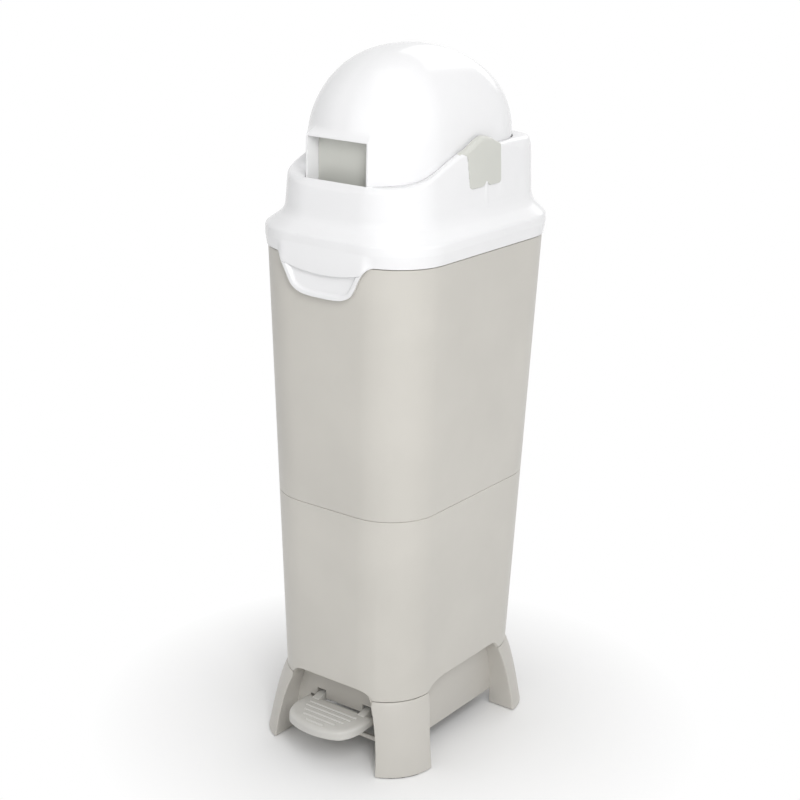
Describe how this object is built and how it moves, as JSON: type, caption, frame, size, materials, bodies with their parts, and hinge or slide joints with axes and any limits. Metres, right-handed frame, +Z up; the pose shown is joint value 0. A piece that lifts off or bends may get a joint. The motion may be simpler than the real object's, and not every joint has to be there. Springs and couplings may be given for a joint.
{
  "type": "nappy bin",
  "caption": "Pedal nappy bin with a tapered body on an arched base, a hinged head with a sealing chute and flap, and a domed lid.",
  "frame": {"origin": "on the floor under the middle of the whole bin, measured from the pedal's front to the rear hinge", "axes": "+Z up, -Y towards the pedal and the front, +X to the bin's own left as it faces the user"},
  "size_m": [0.1956, 0.295, 0.6997],
  "materials": {
    "base_plastic": "satin moulded plastic, warm stone grey, a touch darker than the body",
    "body_plastic": "satin moulded plastic, warm stone grey, very fine spark-eroded grain",
    "pedal_plastic": "satin moulded plastic, stone grey, lightly scuffed",
    "white_plastic": "gloss moulded plastic, white",
    "lid_plastic": "gloss moulded plastic, white",
    "chute_plastic": "smooth moulded plastic, white",
    "cover_plastic": "satin moulded plastic, pale greenish grey",
    "trim_plastic": "plain moulded plastic, grey",
    "inner_plastic": "plain moulded plastic, mid grey",
    "foot_rubber": "soft dark rubber",
    "seal_rubber": "soft grey seal rubber",
    "steel": "zinc-plated steel"
  },
  "bodies": {
    "bin_body": {"base": "base_plastic", "foot_pads": "foot_rubber", "lower_body_shell": "body_plastic", "upper_body_shell": "body_plastic", "base_screws": "steel", "pedal_pin": "steel", "pin_clips": "steel", "rod_channel": "inner_plastic", "rod_guides": "trim_plastic", "return_spring": "steel", "bag_ring": "trim_plastic", "head_hinge_pin": "steel"},
    "pedal": {"pedal_pad": "pedal_plastic", "pedal_lever": "inner_plastic", "pedal_screws": "steel"},
    "lower_rod": {"lower_push_rod": "steel", "rod_shoe": "trim_plastic"},
    "head": {"collar": "white_plastic", "side_cover_left": "cover_plastic", "side_cover_right": "cover_plastic", "lid_gasket": "seal_rubber", "chute": "chute_plastic", "chute_screws": "steel", "lid_hinge_pin": "steel", "flap_pin": "steel", "flap_spring": "steel"},
    "upper_rod": {"upper_push_rod": "steel"},
    "lid": {"dome_lid": "lid_plastic", "grip_plate": "cover_plastic"},
    "flap": {"odour_flap": "chute_plastic", "flap_lip": "seal_rubber"}
  },
  "joints": [
    {"name": "pedal_hinge", "type": "hinge", "parent": "bin_body", "child": "pedal", "pos_m": [0, -0.017, 0.048], "axis": [1, 0, 0], "range_deg": [0, 11.5], "stiffness_Nm_per_rad": 2, "springref_deg": -14.32},
    {"name": "lower_rod_slide", "type": "slide", "parent": "bin_body", "child": "lower_rod", "axis": [0, 0, 1], "range_m": [0, 0.0232], "deforming": ["return_spring"]},
    {"name": "head_hinge", "type": "hinge", "parent": "bin_body", "child": "head", "pos_m": [0, 0.1415, 0.507], "axis": [-1, 0, 0], "range_deg": [0, 90]},
    {"name": "upper_rod_slide", "type": "slide", "parent": "head", "child": "upper_rod", "axis": [0, 0, 1], "range_m": [0, 0.0232]},
    {"name": "lid_hinge", "type": "hinge", "parent": "head", "child": "lid", "pos_m": [0, 0.123, 0.6135], "axis": [-1, 0, 0], "range_deg": [0, 54.1]},
    {"name": "flap_hinge", "type": "hinge", "parent": "head", "child": "flap", "pos_m": [0, 0.0685, 0.5043], "axis": [1, 0, 0], "range_deg": [0, 75], "stiffness_Nm_per_rad": 0.1, "springref_deg": -57.3}
  ],
  "couplings": [
    {"joint": "lower_rod_slide", "follows": "pedal_hinge", "m_per_rad": 0.115},
    {"joint": "upper_rod_slide", "follows": "pedal_hinge", "m_per_rad": 0.115},
    {"joint": "lid_hinge", "follows": "pedal_hinge", "ratio": 4.7}
  ]
}
